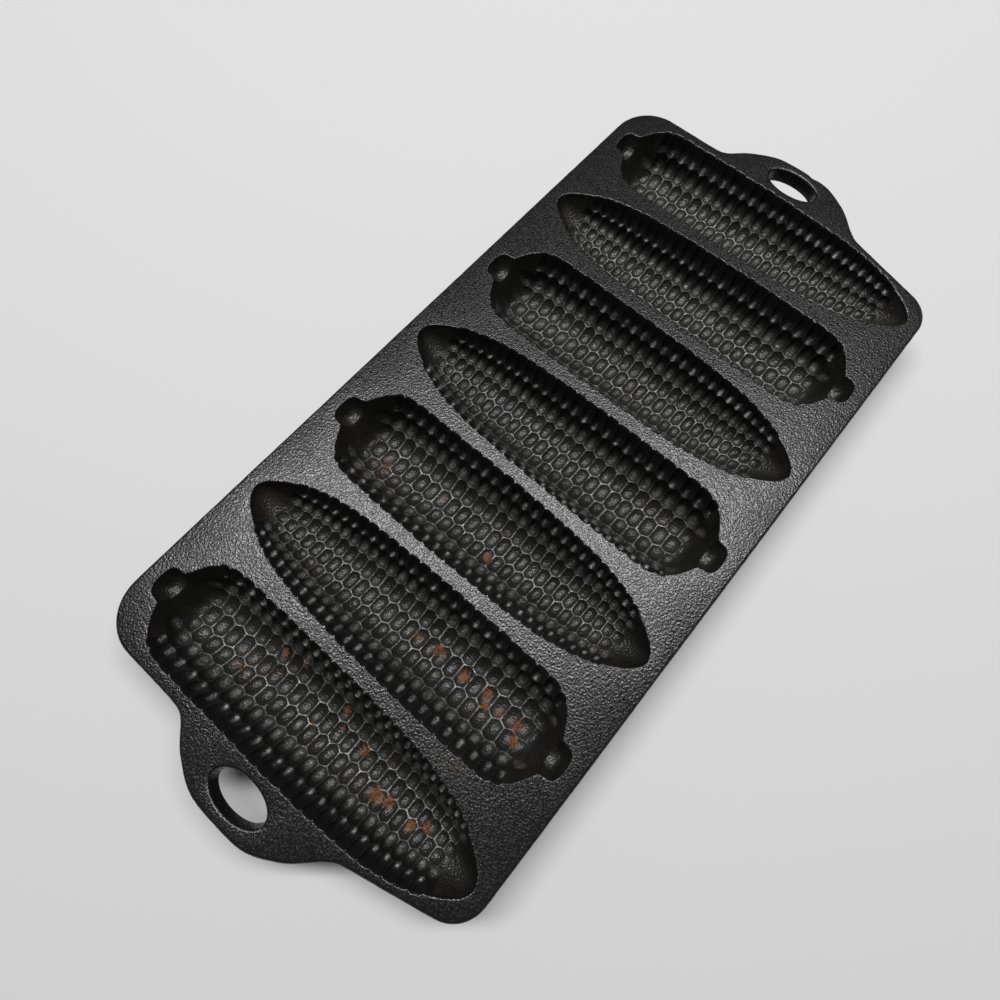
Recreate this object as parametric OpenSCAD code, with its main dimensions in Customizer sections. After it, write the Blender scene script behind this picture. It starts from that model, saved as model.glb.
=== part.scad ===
// Cast iron corn stick pan: one casting, drawn as its deck, seven cob cups and two end handles.
// The pan stands on its cups. X runs along the pan, Y along the cups, Z up, z = 0 at the cups' undersides.

/* [Deck] */
// thickness of the flat deck
deck_thickness = 5.5; // [4.5:0.1:7]
// deck left beyond the cups' ends on each long side
side_rim = 5.7; // [4.5:0.1:12]
// deck left beyond the outermost cup at each short end
end_rim = 4.8; // [3.5:0.1:9]
// corner radius beside the cups' stems
stem_corner_radius = 16.3; // [8:0.1:18]
// corner radius beside the cups' tips
tip_corner_radius = 12.2; // [8:0.1:18]

/* [Cups] */
// distance between the middles of neighbouring cups
cup_pitch = 41; // [40:0.1:46]
// length of a cup at the deck, stem to tip
cup_length = 135; // [110:0.5:150]
// greatest width of a cup at the deck
cup_width = 35; // [30:0.1:36]
// depth of a cup below the deck's top, measured to the ridges between the kernels
cup_depth = 17.4; // [14:0.1:22]
// iron left under the deepest point of a cup
cup_floor = 4.6; // [3:0.1:7]
// iron left beside a cup, where its neighbour allows it
cup_wall = 3.2; // [2:0.1:4]
// how much of the round underside is cut level to make the strip that a cup stands on
foot_cut = 0.5; // [0.3:0.05:1]

/* [Kernels] */
// kernels in each lengthwise column
kernel_rows = 25; // [18:1:30]
// depth of a kernel's hollow below its ridges
kernel_depth = 1.2; // [0.5:0.05:1.4]
// sideways wave of the ridges between columns, making the cells six-sided
kernel_wave = 0.35; // [0:0.05:0.6]
// degrees the columns turn about the cob's middle between its stem and its tip
kernel_lean = 20; // [0:0.5:24]
// degrees the columns are turned to one side at the middle of the cob's length
kernel_turn = 4; // [0:0.5:8]
// how much longer the kernels at the stem are than the average
kernel_growth = 0.19; // [0:0.005:0.3]

/* [Stem] */
// width of the stem's recess at the deck
stem_width = 11; // [8:0.1:14]
// depth of the stem's recess
stem_depth = 6.4; // [6:0.1:9]

/* [Handles] */
// how far a handle stands out from the joint with the deck
handle_reach = 16.7; // [15:0.1:24]
// length of a handle along its root, including both blends
handle_length = 68; // [60:0.5:84]
// width of the hanging hole
hole_width = 11; // [8:0.1:12]
// length of the hanging hole
hole_length = 21.6; // [16:0.1:28]
// iron left between the hanging hole and the joint with the deck
hole_web = 1.7; // [1.5:0.1:3]
// how much the hole draws in on each side towards the underside
hole_draft = 0.7; // [0:0.05:1.2]

/* [Hidden] */
cup_count = 7;
over = 1;
pan_height = cup_depth + cup_floor;
deck_z = pan_height - deck_thickness;
half_depth = cup_length / 2 + side_rim;
end_x = (cup_count - 1) / 2 * cup_pitch;
end_half = cup_width / 2 + end_rim;
joint_x = end_x + cup_width / 2 + 2.3;
joint_half = handle_length / 2;
hole_x = joint_x + hole_web + hole_width / 2;
iron = [0.16, 0.16, 0.17];
iron_cup = [0.13, 0.13, 0.14];
iron_handle = [0.19, 0.19, 0.2];

// One cob, in fractions. First value: place along the cup, 0 at the stem's end and 1 at the tip.
// Body: half width and depth as fractions of the largest.
body_half = [
  [0.043, 0.36],
  [0.058, 0.57],
  [0.073, 0.745],
  [0.097, 0.875],
  [0.126, 0.96],
  [0.163, 0.989],
  [0.348, 1],
  [0.496, 0.989],
  [0.644, 0.949],
  [0.718, 0.914],
  [0.793, 0.846],
  [0.867, 0.714],
  [0.933, 0.514],
  [0.978, 0.286],
  [0.992, 0.16],
  [1, 0.035]
];
body_deep = [
  [0.043, 0.4],
  [0.058, 0.64],
  [0.073, 0.85],
  [0.09, 0.95],
  [0.126, 0.99],
  [0.348, 1],
  [0.496, 0.99],
  [0.644, 0.955],
  [0.718, 0.92],
  [0.793, 0.852],
  [0.867, 0.725],
  [0.933, 0.53],
  [0.978, 0.3],
  [0.992, 0.17],
  [1, 0.035]
];
// Stem: half width and depth as fractions of the stem's own.
stem_half = [
  [0, 0.5],
  [0.006, 0.76],
  [0.014, 0.93],
  [0.027, 1],
  [0.037, 1.09]
];
stem_deep = [
  [0, 0.25],
  [0.006, 0.55],
  [0.014, 0.86],
  [0.027, 0.97],
  [0.037, 1]
];
// Section across the cob: angle from straight down, then sideways and downward fractions.
section_side = [
  [0, 0],
  [12.9, 0.209],
  [38.6, 0.555],
  [64.3, 0.845],
  [90, 1.07]
];
section_down = [
  [0, 1],
  [12.9, 0.978],
  [38.6, 0.815],
  [64.3, 0.385],
  [90, 0]
];
column_angles = [-90, -61, -37.5, -12.5, 12.5, 39.5, 62.5, 90];
columns = len(column_angles) - 1;
ring = len(column_angles);

// Places along the cob of the smooth stem end, the kernels and the smooth tip.
kernel_from = 0.0905;
kernel_to = 0.937;
stem_places = [0, 0.006, 0.014, 0.027, 0.037, 0.046, 0.058, 0.073];
tip_places = [0.958, 0.978, 0.992, 1];
half_rows = 2 * kernel_rows;
first_row = len(stem_places);
kernel_places = [
  for (i = [0 : half_rows])
    let (s = i / half_rows)
    kernel_from + (kernel_to - kernel_from) * s * (1 + kernel_growth * (1 - s))
];
places = concat(stem_places, kernel_places, tip_places);
last = len(places) - 1;

// Half width and depth of the cavity at a place along the cob.
neck = 0.04;
function half_at(f) =
  f < neck ? stem_width / 2 * lookup(f, stem_half) : cup_width / 2 * lookup(f, body_half);
function deep_at(f) =
  f < neck ? stem_depth * lookup(f, stem_deep) : cup_depth * lookup(f, body_deep);

// A point of the cavity at a place, an angle and a push outwards along the section.
function lean_at(f, a) = (kernel_turn + kernel_lean * (f - 0.5)) * (1 - abs(a) / 90);
function side_at(f, a) = sign(a) * half_at(f) * lookup(abs(a), section_side);
function down_at(f, a) = abs(a) > 89 ? -over * 2.6 : deep_at(f) * lookup(abs(a), section_down);
function cob_y(f) = cup_length / 2 - cup_length * f;
function inner(f, a, push) = [side_at(f, a) + push, cob_y(f), pan_height - down_at(f, a)];

// The ridges wave to one side and the other at every half row, so the cells are six-sided.
function in_rows(i) = i >= first_row && i <= first_row + half_rows;
function wave(i, j) =
  (in_rows(i) && j > 0 && j < columns ? kernel_wave : 0) * ((i - first_row + j) % 2 == 0 ? -1 : 1);
function ridge(i, j) =
  let (f = places[i], a = column_angles[j], b = a + lean_at(f, a))
  inner(f, b, wave(i, j) * half_at(f) / cup_width * 2);

// The bottom of a kernel's hollow, pushed out of the middle of its cell.
function hollow(i, c) =
  let (
    p = ridge(i, c),
    q = ridge(i, c + 1),
    along = norm(q - p),
    nx = (q[2] - p[2]) / along,
    nz = -(q[0] - p[0]) / along,
    bulge = 0.03 * along,
    deep = (kernel_depth * (0.45 + 0.55 * half_at(places[i]) / cup_width * 2) + bulge)
  )
  [(p[0] + q[0]) / 2 + nx * deep, p[1], (p[2] + q[2]) / 2 + nz * deep];

// Each column holds whole kernels; the outermost column and every second one start half a row later.
function late(c) = (c + 1) % 2;
function starts(c) = [for (i = [first_row + late(c) : 2 : first_row + half_rows - 2]) i];
cells = [for (c = [0 : columns - 1]) for (i = starts(c)) [i, c]];
ring_points = [for (i = [0 : last]) for (j = [0 : ring - 1]) ridge(i, j)];
hollow_points = [for (cell = cells) hollow(cell[0] + 1, cell[1])];
function at(i, j) = i * ring + j;
function quad(a, b, c, d) = [[a, c, b], [a, d, c]];
function plain(i, c) = quad(at(i, c), at(i, c + 1), at(i + 1, c + 1), at(i + 1, c));
function is_plain(i, c) =
  i < first_row + late(c) || i >= first_row + half_rows - late(c);
function cell_faces(n) =
  let (
    i = cells[n][0],
    c = cells[n][1],
    m = len(ring_points) + n,
    loop = [at(i, c), at(i, c + 1), at(i + 1, c + 1), at(i + 2, c + 1), at(i + 2, c), at(i + 1, c)]
  )
  [for (k = [0 : 5]) [m, loop[(k + 1) % 6], loop[k]]];
cavity_faces = concat(
  [for (i = [0 : last - 1]) for (c = [0 : columns - 1]) if (is_plain(i, c)) each plain(i, c)],
  [for (n = [0 : len(cells) - 1]) each cell_faces(n)],
  [for (i = [0 : last - 1]) each quad(at(i, ring - 1), at(i, 0), at(i + 1, 0), at(i + 1, ring - 1))],
  [[for (j = [0 : ring - 1]) at(0, j)]],
  [[for (j = [0 : ring - 1]) at(last, ring - 1 - j)]]
);

// The smooth outside of a cup, cut level under its middle to make the strip it stands on.
shell_side = min(cup_wall, (cup_pitch - cup_width) / 2 - 0.3);
shell_low = cup_floor + foot_cut;
shell_places = [
  0, 0.012, 0.027, 0.037, 0.046, 0.058, 0.073, 0.09, 0.12, 0.2, 0.35, 0.5,
  0.62, 0.7, 0.76, 0.82, 0.87, 0.91, 0.94, 0.965, 0.985, 1
];
shell_angles = [for (a = [-90 : 15 : 90]) a];
shell_ring = len(shell_angles);
shell_last = len(shell_places) - 1;
shell_stretch = 1 + 5.6 / cup_length;
function shell_point(f, a) = [
  (half_at(f) + shell_side) * sin(a),
  cob_y(f) * shell_stretch,
  pan_height - (deep_at(f) + shell_low) * cos(a)
];
shell_points = [for (f = shell_places) for (a = shell_angles) shell_point(f, a)];
function sat(i, j) = i * shell_ring + j;
shell_faces = concat(
  [
    for (i = [0 : shell_last - 1])
      for (j = [0 : shell_ring - 2])
        each quad(sat(i, j), sat(i, j + 1), sat(i + 1, j + 1), sat(i + 1, j))
  ],
  [
    for (i = [0 : shell_last - 1])
      each quad(sat(i, shell_ring - 1), sat(i, 0), sat(i + 1, 0), sat(i + 1, shell_ring - 1))
  ],
  [[for (j = [0 : shell_ring - 1]) sat(0, j)]],
  [[for (j = [0 : shell_ring - 1]) sat(shell_last, shell_ring - 1 - j)]]
);

// Handle outline: distance along the root, then distance out, as fractions.
handle_edge = [
  [0, 1],
  [0.15, 0.993],
  [0.309, 0.964],
  [0.456, 0.86],
  [0.574, 0.727],
  [0.676, 0.6],
  [0.765, 0.44],
  [0.882, 0.2],
  [1, 0]
];

// Cups stand side by side with every second one turned end for end.
module place_cup(n) {
  translate([(n - (cup_count + 1) / 2) * cup_pitch, 0, 0])
    rotate([0, 0, n % 2 == 1 ? 0 : 180])
      children();
}

module cavity() {
  polyhedron(points = concat(ring_points, hollow_points), faces = cavity_faces, convexity = 8);
}

module shell() {
  intersection() {
    polyhedron(points = shell_points, faces = shell_faces, convexity = 4);
    translate([-cup_pitch, -half_depth, 0])
      cube([2 * cup_pitch, 2 * half_depth, deck_z]);
  }
}

module plate_plan() {
  hull() {
    for (side = [-1, 1]) {
      translate([side * (end_x + end_half - stem_corner_radius), half_depth - stem_corner_radius])
        circle(r = stem_corner_radius, $fn = 64);
      translate([side * (end_x + end_half - stem_corner_radius), 0])
        circle(r = stem_corner_radius, $fn = 64);
      translate([side * (end_x + end_half * 0.85 - stem_corner_radius), -half_depth * 0.5])
        circle(r = stem_corner_radius, $fn = 64);
      translate([side * (end_x + end_half * 0.57 - tip_corner_radius), tip_corner_radius - half_depth])
        circle(r = tip_corner_radius, $fn = 64);
    }
  }
}

module handle_plan() {
  steps = [for (i = [-18 : 18]) i / 18];
  translate([joint_x, 0])
    polygon(concat(
      [[-cup_width / 4, -handle_length / 2]],
      [for (s = steps) [handle_reach * lookup(abs(s), handle_edge), s * handle_length / 2]],
      [[-cup_width / 4, handle_length / 2]]
    ));
}

module joint_plan() {
  translate([joint_x, -joint_half])
    square([2 * handle_reach, 2 * joint_half]);
}

module deck() {
  color(iron)
    difference() {
      translate([0, 0, deck_z])
        linear_extrude(height = deck_thickness)
          difference() {
            plate_plan();
            joint_plan();
            mirror([1, 0])
              joint_plan();
          }
      for (n = [1 : cup_count])
        place_cup(n)
          cavity();
    }
}

module cup(n) {
  color(iron_cup)
    place_cup(n)
      difference() {
        shell();
        cavity();
      }
}

module handle(turn) {
  color(iron_handle)
    mirror([turn, 0, 0])
      difference() {
        translate([0, 0, deck_z])
          linear_extrude(height = deck_thickness)
            intersection() {
              union() {
                plate_plan();
                handle_plan();
              }
              joint_plan();
            }
        translate([hole_x, 0, pan_height])
          mirror([0, 0, 1])
            linear_extrude(
              height = deck_thickness,
              scale = [1 - 2 * hole_draft / hole_width, 1 - 2 * hole_draft / hole_length]
            )
              scale([hole_width / 2, hole_length / 2])
                circle(r = 1, $fn = 48);
      }
}

module handle_left() {
  handle(1);
}

module handle_right() {
  handle(0);
}

deck();
cup(1);  // cup_1
cup(2);  // cup_2
cup(3);  // cup_3
cup(4);  // cup_4
cup(5);  // cup_5
cup(6);  // cup_6
cup(7);  // cup_7
handle_left();
handle_right();
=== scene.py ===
"""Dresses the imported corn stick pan: its cast deck with two handles and its seven kernel-lined cups."""

import logging
import math
from dataclasses import dataclass, field
from enum import Enum

import bmesh
import bpy
import numpy as np
from mathutils import Euler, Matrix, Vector
from mathutils.geometry import delaunay_2d_cdt


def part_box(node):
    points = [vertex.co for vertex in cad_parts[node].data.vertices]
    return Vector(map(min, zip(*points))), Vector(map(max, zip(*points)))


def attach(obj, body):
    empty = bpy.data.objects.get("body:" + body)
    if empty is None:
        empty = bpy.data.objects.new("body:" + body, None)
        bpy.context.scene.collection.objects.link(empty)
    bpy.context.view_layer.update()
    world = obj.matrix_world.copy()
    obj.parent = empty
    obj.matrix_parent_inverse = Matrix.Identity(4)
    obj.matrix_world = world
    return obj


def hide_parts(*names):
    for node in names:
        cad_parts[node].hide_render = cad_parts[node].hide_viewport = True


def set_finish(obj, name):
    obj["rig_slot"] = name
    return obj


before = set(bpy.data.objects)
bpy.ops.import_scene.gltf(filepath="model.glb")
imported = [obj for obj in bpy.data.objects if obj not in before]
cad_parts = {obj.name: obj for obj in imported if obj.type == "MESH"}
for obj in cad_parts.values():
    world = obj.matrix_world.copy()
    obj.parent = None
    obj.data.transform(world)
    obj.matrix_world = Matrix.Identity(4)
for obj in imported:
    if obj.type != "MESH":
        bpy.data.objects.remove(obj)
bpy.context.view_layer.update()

MM = 0.001
ROOT = "root"
CUP_NODES = [f"cup_{number}" for number in range(1, 8)]
DECK_NODES = ["deck", "handle_left", "handle_right"]
CREASE_ANGLE = 50.0
log = logging.getLogger("corn_stick_pan")


class Slot(Enum):
    """The record's material slots."""

    DECK = "deck_iron"
    CUP = "cup_iron"


class Mask(Enum):
    """The masks that a piece's vertices carry for its finish."""

    # Wear and painted highlight on the kernels' ridges, with the painted glints.
    RIDGE = "ridge"
    # Painted shade on the kernels' flanks beside the ridges.
    FLANK = "flank"
    # The steep walls, where shade is painted into the colour and the roughness changes.
    WALL = "wall"
    ROUGH = "rough"
    RUST = "rust"


def smooth_lookup(places: np.ndarray, table: tuple) -> np.ndarray:
    """Reads a table with a monotone cubic, so a profile has no corners and never overshoots.

    Formula: between two entries the value follows the Hermite cubic whose end slopes are the
    harmonic means of the neighbouring slopes, or zero where the table turns.

    Args:
        places: where to read, any shape.
        table: pairs of place and value, with the places rising.

    Returns:
        The values, in the shape of places.
    """
    x, y = np.array(table, float).T
    step, rise = np.diff(x), np.diff(y) / np.diff(x)
    slope = np.zeros_like(x)
    same = rise[1:] * rise[:-1] > 0
    slope[1:-1] = np.where(same, 2 * rise[1:] * rise[:-1] / np.where(same, rise[1:] + rise[:-1], 1), 0)
    slope[0], slope[-1] = rise[0], rise[-1]
    at = np.clip(places, x[0], x[-1])
    i = np.clip(np.searchsorted(x, at, side="right") - 1, 0, len(step) - 1)
    t = (at - x[i]) / step[i]
    start = y[i] * (1 + 2 * t) * (1 - t) ** 2 + slope[i] * step[i] * t * (1 - t) ** 2
    return start + y[i + 1] * t * t * (3 - 2 * t) + slope[i + 1] * step[i] * t * t * (t - 1)


def ease(low: float, high: float, values: np.ndarray) -> np.ndarray:
    """Goes smoothly from 0 at low to 1 at high, by the cubic 3 t^2 - 2 t^3.

    Args:
        low: the value that gives 0.
        high: the value that gives 1, above low or below it.
        values: what is compared with the two.

    Returns:
        Numbers from 0 to 1, in the shape of values.
    """
    t = np.clip((values - low) / (high - low), 0, 1)
    return t * t * (3 - 2 * t)


def relax(loop: np.ndarray, passes: int) -> np.ndarray:
    """Smooths a closed loop by averaging each point with its two neighbours.

    Args:
        loop: points of the loop, one in each row.
        passes: how many times the average is taken.

    Returns:
        The smoother loop, with as many points.
    """
    for _ in range(passes):
        loop = (np.roll(loop, 1, axis=0) + 2 * loop + np.roll(loop, -1, axis=0)) / 4
    return loop


def outward(loop: np.ndarray) -> np.ndarray:
    """The level directions out of a closed loop in plan.

    Formula: at right angles to the difference of the two neighbouring points, with the sign
    that the loop's signed area asks for.

    Args:
        loop: points of the loop in plan.

    Returns:
        A unit direction for each point.
    """
    after, before = np.roll(loop, -1, axis=0), np.roll(loop, 1, axis=0)
    area = np.sum(loop[:, 0] * after[:, 1] - loop[:, 1] * after[:, 0])
    tangent = after - before
    out = np.stack([tangent[:, 1], -tangent[:, 0]], axis=1) * np.sign(area)
    return out / np.linalg.norm(out, axis=1, keepdims=True)


def resample(points: np.ndarray, count: int) -> np.ndarray:
    """Spaces points evenly along a polyline.

    Args:
        points: the polyline, one point in each row.
        count: how many points to return, both ends among them.

    Returns:
        The evenly spaced points.
    """
    run = np.r_[0, np.cumsum(np.linalg.norm(np.diff(points, axis=0), axis=1))]
    at = np.linspace(0, run[-1], count)
    return np.stack([np.interp(at, run, points[:, k]) for k in range(points.shape[1])], axis=1)


def within(points: np.ndarray, loop: np.ndarray) -> np.ndarray:
    """Tells which points lie inside a closed loop in plan.

    Formula: a level ray from a point inside crosses the loop's edges an odd number of times.

    Args:
        points: points in plan.
        loop: the loop's points in plan.

    Returns:
        True for each point inside.
    """
    x, y = points[:, :1], points[:, 1:]
    (x0, y0), (x1, y1) = loop.T, np.roll(loop, -1, axis=0).T
    rise = np.where(y1 == y0, 1e-12, y1 - y0)
    crossed = ((y0 > y) != (y1 > y)) & (x < x0 + (y - y0) * (x1 - x0) / rise)
    return crossed.sum(axis=1) % 2 == 1


def band(rows: np.ndarray) -> np.ndarray:
    """Joins closed rows of vertex numbers into quads.

    Args:
        rows: vertex numbers, each row a closed loop.

    Returns:
        The quads, four vertex numbers each.
    """
    after = np.roll(rows, -1, axis=1)
    return np.stack([rows[:-1], after[:-1], after[1:], rows[1:]], axis=-1).reshape(-1, 4)


def quarter_turn(steps: int) -> np.ndarray:
    """Angles from 0 to a quarter turn, both among them, as a column."""
    return np.linspace(0, math.pi / 2, steps + 1)[:, None]


def with_height(plan: np.ndarray, height: np.ndarray | float) -> np.ndarray:
    """Gives points in plan a height."""
    return np.concatenate([plan, np.broadcast_to(height, plan.shape[:-1])[..., None]], axis=-1)


def rounded_side(loop: np.ndarray, out: np.ndarray, top: tuple, underside: tuple, draft: float) -> np.ndarray:
    """A side between two level faces, with both corners rounded, as rows from the top downwards.

    Formula: a quarter turn at each corner moves the loop by 1 - sin or 1 - cos of the corner's radius.

    Args:
        loop: points of the side's closed loop in plan.
        out: level directions away from the iron, for each point.
        top: the top's height, its corner's radius and the steps of its quarter turn.
        underside: the same three numbers for the underside.
        draft: how much further in the lower end lies.

    Returns:
        Rows of closed loops.
    """
    (high, over, over_steps), (low, under, under_steps) = top, underside
    first, last = quarter_turn(over_steps), quarter_turn(under_steps)
    inset = np.r_[over * (1 - np.sin(first)), draft + under * (1 - np.cos(last))]
    height = np.r_[high - over * (1 - np.cos(first)), low + under * (1 - np.sin(last))]
    return with_height(loop - out * inset[..., None], height)


def turned_out(
    row: np.ndarray, out: np.ndarray, radius: float, rise: np.ndarray | float, steps: int
) -> np.ndarray:
    """A quarter turn up and outwards from a row of points, as rows from its far end back to the row.

    Args:
        row: the points where the turn begins.
        out: level directions in plan, for each point.
        radius: how far the turn goes out.
        rise: how far it rises.
        steps: how many rows it has.

    Returns:
        The rows, without the given one.
    """
    turn = quarter_turn(steps)[:0:-1]
    plan = row[:, :2] + out * radius * (1 - np.cos(turn))[..., None]
    return with_height(plan, row[:, 2] + rise * np.sin(turn))


@dataclass
class Surface:
    """A piece's points, faces and masks, gathered part by part in millimetres."""

    points: list = field(default_factory=list)
    faces: list = field(default_factory=list)
    masks: dict = field(default_factory=lambda: {mask: [] for mask in Mask})
    count: int = 0

    def add(self, points: np.ndarray, **values: np.ndarray | float) -> np.ndarray:
        """Adds points with their masks.

        Args:
            points: an array whose last axis is X, Y, Z.
            values: masks by lower-case name, each a number or an array in the points' shape.

        Returns:
            The new vertex numbers, in the points' shape.
        """
        shape = points.shape[:-1]
        numbers = self.count + np.arange(int(np.prod(shape))).reshape(shape)
        self.points.append(points.reshape(-1, 3))
        self.count += numbers.size
        for mask in Mask:
            given = np.broadcast_to(values.get(mask.value, 0.0), shape)
            self.masks[mask].append(given.ravel())
        return numbers

    def cap(self, outer: np.ndarray, holes: list) -> None:
        """Fills the level area between an outer loop and holes with triangles.

        Args:
            outer: vertex numbers of the outer loop.
            holes: vertex numbers of each hole's loop.
        """
        loops = [outer, *holes]
        numbers = np.concatenate(loops)
        plan = np.concatenate(self.points)[numbers, :2]
        starts = np.r_[0, np.cumsum([len(loop) for loop in loops])]
        edges = [
            np.stack([s + np.arange(n), s + (np.arange(n) + 1) % n], axis=1)
            for s, n in zip(starts[:-1], map(len, loops))
        ]
        flat = [Vector(p) for p in plan.tolist()]
        # Output type 1 keeps the triangles inside the outer loop.
        _, _, triangles, origin, _, _ = delaunay_2d_cdt(flat, np.concatenate(edges).tolist(), [], 1, 1e-6)
        first = np.array([group[0] for group in origin])
        corners = first[np.array(triangles)]
        middles = plan[corners].mean(axis=1)
        in_hole = [within(middles, plan[s : s + len(loop)]) for s, loop in zip(starts[1:], holes)]
        self.faces.append(numbers[corners[~np.any(in_hole, axis=0)]])

    def build(self, name: str) -> bpy.types.Object:
        """Makes the object, with outward faces, smooth shading and creases above CREASE_ANGLE.

        Args:
            name: the object's name.

        Returns:
            The object, linked to the scene.
        """
        mesh = bpy.data.meshes.new(name)
        points = np.concatenate(self.points) * MM
        sizes = np.concatenate([np.full(len(part), part.shape[1]) for part in self.faces])
        mesh.vertices.add(len(points))
        mesh.vertices.foreach_set("co", points.astype(np.float32).ravel())
        mesh.loops.add(int(sizes.sum()))
        corners = np.concatenate([part.ravel() for part in self.faces])
        mesh.loops.foreach_set("vertex_index", corners.astype(np.int32))
        mesh.polygons.add(len(sizes))
        mesh.polygons.foreach_set("loop_start", np.r_[0, np.cumsum(sizes)[:-1]].astype(np.int32))
        mesh.update(calc_edges=True)
        for mask, values in self.masks.items():
            layer = mesh.attributes.new(mask.value, "FLOAT", "POINT")
            layer.data.foreach_set("value", np.concatenate(values).astype(np.float32))
        work = bmesh.new()
        work.from_mesh(mesh)
        bmesh.ops.recalc_face_normals(work, faces=work.faces)
        work.to_mesh(mesh)
        work.free()
        mesh.polygons.foreach_set("use_smooth", np.ones(len(mesh.polygons), bool))
        mesh.set_sharp_from_angle(angle=math.radians(CREASE_ANGLE))
        piece = bpy.data.objects.new(name, mesh)
        bpy.context.scene.collection.objects.link(piece)
        return piece


@dataclass(frozen=True)
class CobProfile:
    """The cavity that every cup shares, in millimetres and in shares of its length from the stem's end."""

    length: float = 135.0
    width: float = 35.0
    depth: float = 17.4
    stem_width: float = 11.0
    stem_depth: float = 6.4
    neck: float = 0.04
    body_half: tuple = (
        (0.04, 0.33), (0.046, 0.40), (0.058, 0.57), (0.073, 0.745), (0.097, 0.885), (0.126, 0.96),
        (0.163, 0.989), (0.348, 1), (0.496, 0.989), (0.644, 0.949), (0.718, 0.914), (0.793, 0.846),
        (0.867, 0.714), (0.933, 0.514), (0.978, 0.286), (0.992, 0.17), (1, 0.03),
    )
    body_deep: tuple = (
        (0.04, 0.355), (0.046, 0.43), (0.058, 0.66), (0.073, 0.86), (0.09, 0.95), (0.126, 0.99),
        (0.348, 1), (0.496, 0.99), (0.644, 0.955), (0.718, 0.92), (0.793, 0.852), (0.867, 0.725),
        (0.933, 0.53), (0.978, 0.3), (0.992, 0.17), (1, 0.02),
    )
    stem_half: tuple = ((0, 0.42), (0.004, 0.72), (0.012, 0.92), (0.027, 1), (0.04, 1.05))
    stem_deep: tuple = ((0, 0.1), (0.004, 0.4), (0.012, 0.8), (0.024, 0.97), (0.04, 0.97))
    section_side: tuple = ((0, 0), (12.9, 0.209), (38.6, 0.555), (64.3, 0.845), (80, 0.955), (90, 1))
    section_down: tuple = ((0, 1), (12.9, 0.978), (38.6, 0.815), (64.3, 0.385), (80, 0.13), (90, 0))

    def along(self, place: np.ndarray, stem: np.ndarray, body: np.ndarray) -> np.ndarray:
        """Takes the stem's values up to the neck and the body's beyond it."""
        return np.where(place < self.neck, stem, body)

    def half_at(self, place: np.ndarray) -> np.ndarray:
        """Half the cavity's width at the deck, at shares of the length from the stem's end."""
        stem = self.stem_width / 2 * smooth_lookup(place, self.stem_half)
        return self.along(place, stem, self.width / 2 * smooth_lookup(place, self.body_half))

    def deep_at(self, place: np.ndarray) -> np.ndarray:
        """The greatest depth across the cob, at shares of the length from the stem's end."""
        stem = self.stem_depth * smooth_lookup(place, self.stem_deep)
        return self.along(place, stem, self.depth * smooth_lookup(place, self.body_deep))

    def across(self, angle: np.ndarray) -> np.ndarray:
        """The sideways share of the half width at an angle from straight down, in degrees."""
        return np.sign(angle) * smooth_lookup(np.abs(angle), self.section_side)

    def down(self, angle: np.ndarray) -> np.ndarray:
        """The share of the depth at an angle from straight down, in degrees."""
        return smooth_lookup(np.abs(angle), self.section_down)

    def angle_beside(self, share: np.ndarray) -> np.ndarray:
        """The section's angle in degrees at a sideways share of the half width, read back from it."""
        angles = np.arange(-360, 361) / 4
        return np.interp(share, self.across(angles), angles)


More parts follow.
